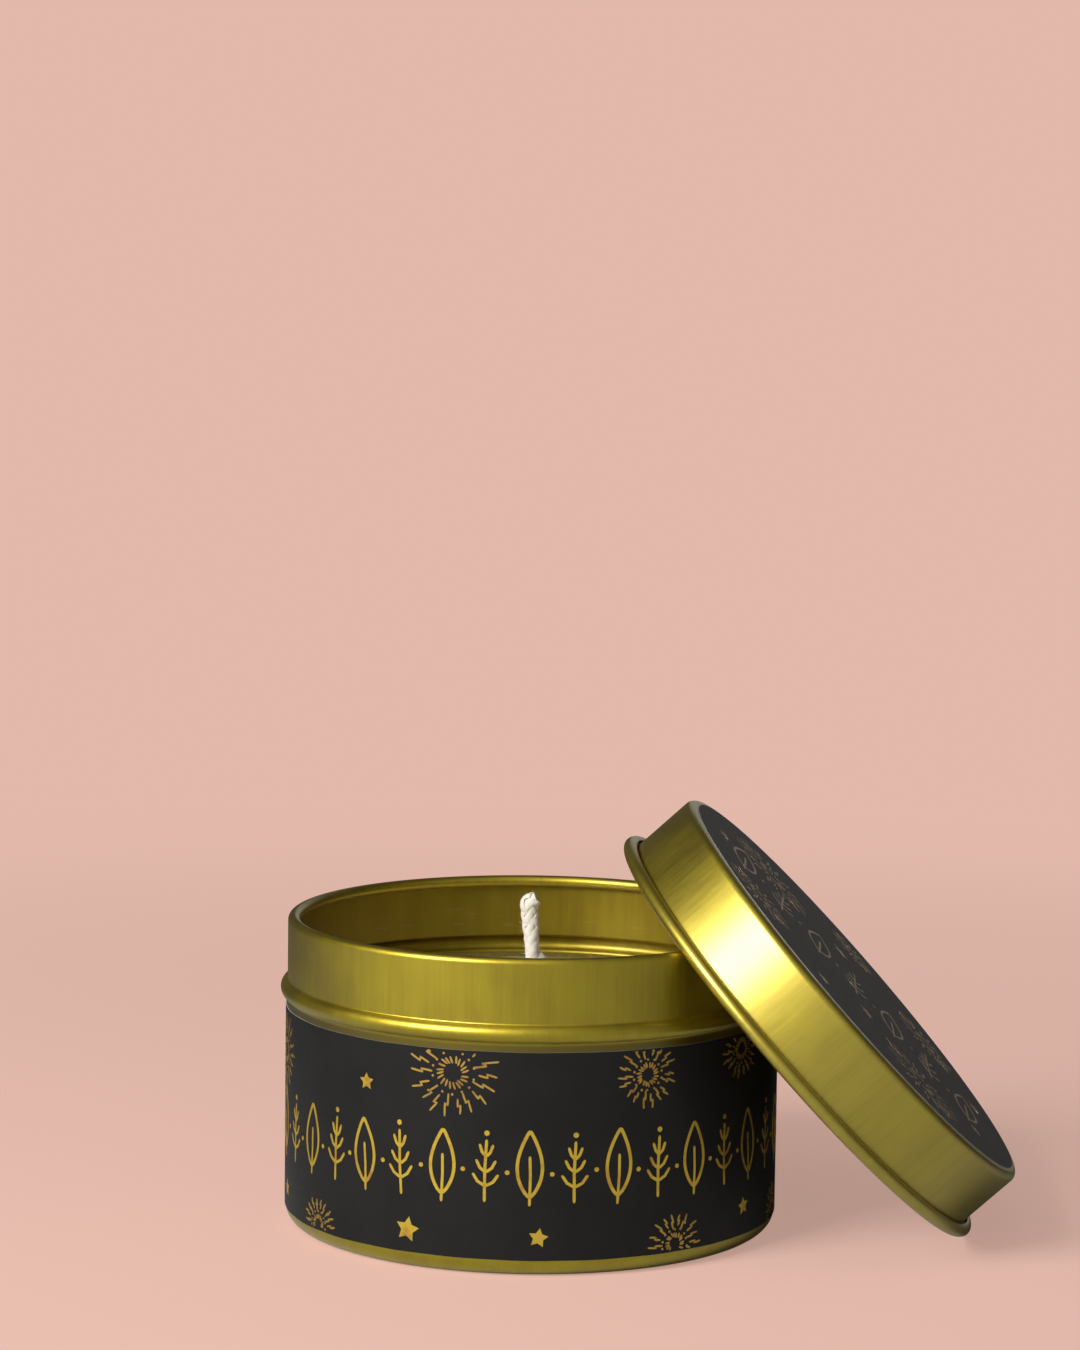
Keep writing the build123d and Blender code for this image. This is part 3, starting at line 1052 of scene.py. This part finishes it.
# (x, y, radius) of each motif on the lid
LID_BURSTS = [(-19, 14, 9), (17, 19, 7), (-22, -17, 7), (14, -21, 8.5), (0, 27, 5)]
LID_STARS = [(-3, 15, 1.8), (2, -14, 1.5), (28, 9, 1.6), (-30, 2, 1.4), (27, -10, 1.3), (-8, -27, 1.5)]
LID_GARLAND = {"pitch": 8.5, "count": 7, "level": -6.5, "height": 14.0}


def lid_print():
    """Fireworks and stars round a garland of leaves across the middle."""
    chance = random.Random(23)
    burst_marks, star_marks = burst_and_star_marks(LID_BURSTS, LID_STARS, chance)
    return burst_marks + star_marks + garland(**LID_GARLAND, chance=chance)


lid_foil_skins = printed(lid_print(), on_lid, on_lid_label)
make_piece("lid_foil", lid_foil_skins, [lid_foil], "lid", (), lid_matrix)


# ---- floor, light and camera, in metres ----
PINK = (0.760, 0.485, 0.407, 1)  # the backdrop, as the camera sees it
SHADOW_SHARE = 0.4  # how much of the floor's brightness a shadow can take away
FLOOR_LIGHT = 0.68  # the floor's brightness where the lights meet it freely, over its colour
# as the tin mirrors it, the floor goes from the front grey to the darker back grey: painted shade
REFLECTED_FRONT = (0.54, 0.54, 0.53, 1)  # the floor as the tin mirrors it
REFLECTED_BACK = (0.10, 0.10, 0.10, 1)
STUDIO_WHITE = (1.0, 0.99, 0.97, 1)
FLOOR_REACH = 6.0
LENS = 122.06  # the lens and the camera's place were fitted to the photograph's ellipses
CAMERA_PLACE = (0.00052, -0.68677, 0.16738)
CAMERA_PITCH = radians(6.945)
CAMERA_ROLL = radians(0.771)


def floor_material():
    """A pale floor. Away from the object it has one even brightness, like a seamless backdrop. As the tin
    mirrors it, the floor is painted darker behind and to the right: painted shade.
    """
    material = bpy.data.materials.new("floor")
    material.use_nodes = True
    tree = material.node_tree
    tree.nodes.clear()
    place = add_node(tree, "TexCoord", {}).outputs["Object"]
    distance = add_node(tree, "VectorMath", {0: place}, operation="LENGTH").outputs["Value"]
    share = fit(tree, distance, 0.14, 0.42, SHADOW_SHARE, 0.0)
    lit = tuple(channel / FLOOR_LIGHT for channel in PINK[:3]) + (1,)
    diffuse = add_node(tree, "BsdfDiffuse", {"Color": lit}).outputs[0]
    even = add_node(tree, "Emission", {"Color": PINK}).outputs[0]
    seen = add_node(tree, "MixShader", {0: share, 1: even, 2: diffuse}).outputs[0]
    axes = add_node(tree, "SeparateXYZ", {0: place}).outputs
    # for reflected rays the floor darkens behind and to the right of the tin: painted shade
    right = calculate(tree, "MAXIMUM", calculate(tree, "MULTIPLY", axes["X"], 0.75), 0.0)
    painted_shade_reach = calculate(tree, "ADD", axes["Y"], right)
    grey = blend_colours(tree, fit(tree, painted_shade_reach, -0.04, 0.22), REFLECTED_FRONT, REFLECTED_BACK)
    reflected = add_node(tree, "BsdfDiffuse", {"Color": grey}).outputs[0]
    straight = add_node(tree, "LightPath", {}).outputs["Is Camera Ray"]
    both = add_node(tree, "MixShader", {0: straight, 1: reflected, 2: seen}).outputs[0]
    add_node(tree, "OutputMaterial", {"Surface": both})
    return material


def make_floor():
    """One flat square, far larger than the camera sees."""
    mesh = bpy.data.meshes.new("floor")
    corners = [(x * FLOOR_REACH, y * FLOOR_REACH, 0) for x, y in ((-1, -1), (1, -1), (1, 1), (-1, 1))]
    mesh.from_pydata(corners, [], [(0, 1, 2, 3)])
    mesh.materials.append(floor_material())
    floor = bpy.data.objects.new("floor", mesh)
    bpy.context.scene.collection.objects.link(floor)


def make_world():
    """A neutral studio, brighter in front and to the left. The camera itself sees the backdrop's colour."""
    world = bpy.data.worlds.new("studio")
    bpy.context.scene.world = world
    world.use_nodes = True
    tree = world.node_tree
    tree.nodes.clear()
    way = add_node(tree, "TexCoord", {}).outputs["Generated"]
    bright_side = Vector((-0.22, -0.92, -0.35)).normalized()
    product = add_node(tree, "VectorMath", {0: way, 1: bright_side}, operation="DOT_PRODUCT")
    level = fit(tree, product.outputs["Value"], -0.6, 0.9, 0.04, 0.40)
    studio = add_node(tree, "Background", {"Color": STUDIO_WHITE, "Strength": level}).outputs[0]
    backdrop = add_node(tree, "Background", {"Color": PINK}).outputs[0]
    straight = add_node(tree, "LightPath", {}).outputs["Is Camera Ray"]
    both = add_node(tree, "MixShader", {0: straight, 1: studio, 2: backdrop}).outputs[0]
    add_node(tree, "OutputWorld", {"Surface": both})


def make_softbox(name, direction, distance, size, brightness):
    """A square area light that faces the tin. brightness is that of its surface, whatever its size."""
    target = Vector((0.03, 0.0, 0.03))
    light = bpy.data.lights.new(name, "AREA")
    light.shape = "SQUARE"
    light.size = size
    light.energy = brightness * pi * size**2
    lamp = bpy.data.objects.new(name, light)
    bpy.context.scene.collection.objects.link(lamp)
    direction = Vector(direction).normalized()
    lamp.location = target + direction * distance
    lamp.rotation_euler = direction.to_track_quat("Z", "Y").to_euler()
    lamp.visible_camera = False


def make_camera():
    """The camera looks a little down, and is rolled by less than a degree."""
    camera = bpy.data.objects.new("camera", bpy.data.cameras.new("camera"))
    camera.data.lens = LENS
    camera.data.sensor_width = 36.0
    camera.data.clip_start = 0.01
    forward = Vector((0, cos(CAMERA_PITCH), -sin(CAMERA_PITCH)))
    level = Vector((1, 0, 0))
    upward = level.cross(forward)
    right = level * cos(CAMERA_ROLL) + upward * sin(CAMERA_ROLL)
    up = upward * cos(CAMERA_ROLL) - level * sin(CAMERA_ROLL)
    turn = Matrix((right, up, -forward)).transposed().to_4x4()
    camera.matrix_world = Matrix.Translation(CAMERA_PLACE) @ turn
    bpy.context.scene.collection.objects.link(camera)
    bpy.context.scene.camera = camera


make_floor()
make_world()
make_softbox("key_softbox", (-0.63, -0.57, 0.53), distance=1.0, size=0.42, brightness=16.5)
make_softbox("top_softbox", (-0.15, -0.25, 1.0), distance=1.1, size=0.8, brightness=0.3)
make_softbox("back_softbox", (0.25, 0.95, 0.14), distance=1.6, size=0.9, brightness=0.33)
make_camera()
bpy.context.scene.view_settings.view_transform = "Standard"
